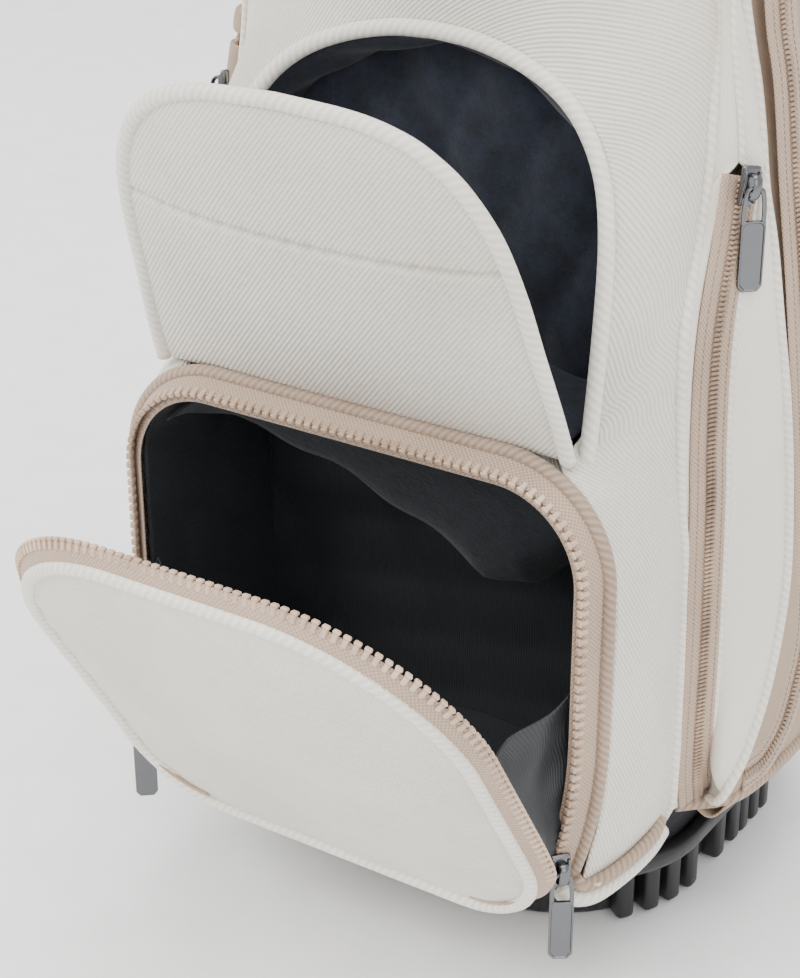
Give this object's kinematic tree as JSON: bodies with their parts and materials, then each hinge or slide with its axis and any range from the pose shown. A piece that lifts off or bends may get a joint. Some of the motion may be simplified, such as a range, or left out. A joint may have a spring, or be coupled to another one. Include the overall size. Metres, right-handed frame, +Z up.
{
  "type": "golf staff bag",
  "caption": "Golf bag with a hinged cooler door, an arched valuables flap, zipped side pockets, a divided top and a ribbed base.",
  "frame": {"origin": "centre of the base's underside, on the floor", "axes": "+Z up along the club tube, -Y towards the front pockets, +X to the right seen from the front"},
  "size_m": [0.2872, 0.4289, 0.89],
  "materials": {
    "shell_fabric": "woven twill",
    "trim_fabric": "woven tape",
    "zip_resin": "moulded",
    "base_plastic": "moulded",
    "collar_plastic": "moulded",
    "pad_rubber": "matt",
    "lining_black": "woven",
    "velvet_navy": "pile",
    "gunmetal": "polished",
    "rod_aluminium": "drawn",
    "magnet_steel": "plated",
    "strap_fabric": "mesh"
  },
  "bodies": {
    "bag": {"base_pan": "base_plastic", "foot_pads": "pad_rubber", "body_tube": "shell_fabric", "stay_rods": "rod_aluminium", "top_collar": "collar_plastic", "divider_frame": "collar_plastic", "divider_sleeves": "lining_black", "bottom_band": "lining_black", "column_lower": "shell_fabric", "cooler_liner": "lining_black", "cooler_ceiling": "velvet_navy", "cooler_piping": "trim_fabric", "cooler_tape": "trim_fabric", "cooler_teeth": "zip_resin", "gussets": "lining_black", "bottom_piping": "trim_fabric", "column_upper": "shell_fabric", "valuables_liner": "velvet_navy", "valuables_piping": "shell_fabric", "rim_magnets": "magnet_steel", "side_pod_right": "shell_fabric", "side_pod_left": "shell_fabric", "rear_panel_right": "trim_fabric", "rear_panel_left": "trim_fabric", "front_zips": "zip_resin", "rear_zips": "zip_resin", "upper_pocket": "shell_fabric", "upper_zip": "zip_resin", "back_pad": "shell_fabric", "shoulder_strap": "strap_fabric", "strap_rings": "gunmetal", "lift_handle": "collar_plastic", "ring_bracket": "collar_plastic"},
    "cooler_door": {"door_panel": "shell_fabric", "door_liner": "lining_black", "door_piping": "shell_fabric", "door_tape": "trim_fabric", "door_teeth": "zip_resin"},
    "valuables_flap": {"flap_panel": "shell_fabric", "flap_liner": "velvet_navy", "flap_piping": "shell_fabric", "flap_magnets": "magnet_steel"},
    "cooler_slider_r": {"cooler_slider_right": "gunmetal"},
    "cooler_slider_l": {"cooler_slider_left": "gunmetal"},
    "cooler_pull_r": {"cooler_pull_right": "gunmetal"},
    "cooler_pull_l": {"cooler_pull_left": "gunmetal"},
    "side_slider_r": {"side_slider_right": "gunmetal"},
    "side_slider_l": {"side_slider_left": "gunmetal"},
    "side_pull_r": {"side_pull_right": "gunmetal"},
    "side_pull_l": {"side_pull_left": "gunmetal"},
    "rear_slider_r": {"rear_slider_right": "gunmetal"},
    "rear_slider_l": {"rear_slider_left": "gunmetal"},
    "rear_pull_r": {"cord_loop_right": "trim_fabric", "cord_grip_right": "zip_resin"},
    "rear_pull_l": {"cord_loop_left": "trim_fabric", "cord_grip_left": "zip_resin"},
    "upper_slider_b": {"upper_slider": "gunmetal"},
    "upper_pull_b": {"upper_pull": "gunmetal"},
    "towel_ring_b": {"towel_ring": "gunmetal"}
  },
  "joints": [
    {"name": "cooler_door_hinge", "type": "hinge", "parent": "bag", "child": "cooler_door", "pos_m": [0, -0.1575, 0.066], "axis": [1, 0, 0], "range_deg": [-32, 15]},
    {"name": "valuables_flap_hinge", "type": "hinge", "parent": "bag", "child": "valuables_flap", "pos_m": [0, -0.1375, 0.2595], "axis": [1, 0, 0], "range_deg": [-36.5, 25]},
    {"name": "cooler_zip_right", "type": "slide", "parent": "bag", "child": "cooler_slider_r", "axis": [0, 0, 1], "range_m": [0, 0.11]},
    {"name": "cooler_zip_left", "type": "slide", "parent": "bag", "child": "cooler_slider_l", "axis": [0, 0, 1], "range_m": [0, 0.11]},
    {"name": "cooler_pull_right_hinge", "type": "hinge", "parent": "cooler_slider_r", "child": "cooler_pull_r", "pos_m": [0.1219, -0.1575, 0.084], "axis": [0, 1, 0], "range_deg": [-170, 0]},
    {"name": "cooler_pull_left_hinge", "type": "hinge", "parent": "cooler_slider_l", "child": "cooler_pull_l", "pos_m": [-0.1219, -0.1575, 0.084], "axis": [0, 1, 0], "range_deg": [0, 170]},
    {"name": "side_zip_right", "type": "slide", "parent": "bag", "child": "side_slider_r", "axis": [0, 0.2002, 0.9798], "range_m": [-0.09, 0]},
    {"name": "side_zip_left", "type": "slide", "parent": "bag", "child": "side_slider_l", "axis": [0, 0.2002, 0.9798], "range_m": [-0.09, 0]},
    {"name": "side_pull_right_hinge", "type": "hinge", "parent": "side_slider_r", "child": "side_pull_r", "pos_m": [0.1317, -0.06, 0.35], "axis": [0, 1, 0], "range_deg": [-170, 0]},
    {"name": "side_pull_left_hinge", "type": "hinge", "parent": "side_slider_l", "child": "side_pull_l", "pos_m": [-0.1317, -0.06, 0.35], "axis": [0, 1, 0], "range_deg": [0, 170]},
    {"name": "rear_zip_right", "type": "slide", "parent": "bag", "child": "rear_slider_r", "axis": [0, 0, 1], "range_m": [-0.09, 0]},
    {"name": "rear_zip_left", "type": "slide", "parent": "bag", "child": "rear_slider_l", "axis": [0, 0, 1], "range_m": [0, 0.15]},
    {"name": "rear_pull_right_hinge", "type": "hinge", "parent": "rear_slider_r", "child": "rear_pull_r", "pos_m": [0.123, -0.04, 0.588], "axis": [0, 1, 0], "range_deg": [-155, 0]},
    {"name": "rear_pull_left_hinge", "type": "hinge", "parent": "rear_slider_l", "child": "rear_pull_l", "pos_m": [-0.123, -0.04, 0.414], "axis": [0, 1, 0], "range_deg": [0, 155]},
    {"name": "upper_zip_slide", "type": "slide", "parent": "bag", "child": "upper_slider_b", "axis": [1, 0, 0], "range_m": [-0.11, 0]},
    {"name": "upper_pull_hinge", "type": "hinge", "parent": "upper_slider_b", "child": "upper_pull_b", "pos_m": [0.054, -0.1103, 0.754], "axis": [1, 0, 0], "range_deg": [-170, 0]},
    {"name": "towel_ring_hinge", "type": "hinge", "parent": "bag", "child": "towel_ring_b", "pos_m": [-0.112, 0, 0.718], "axis": [0, 1, 0], "range_deg": [0, 90]}
  ]
}
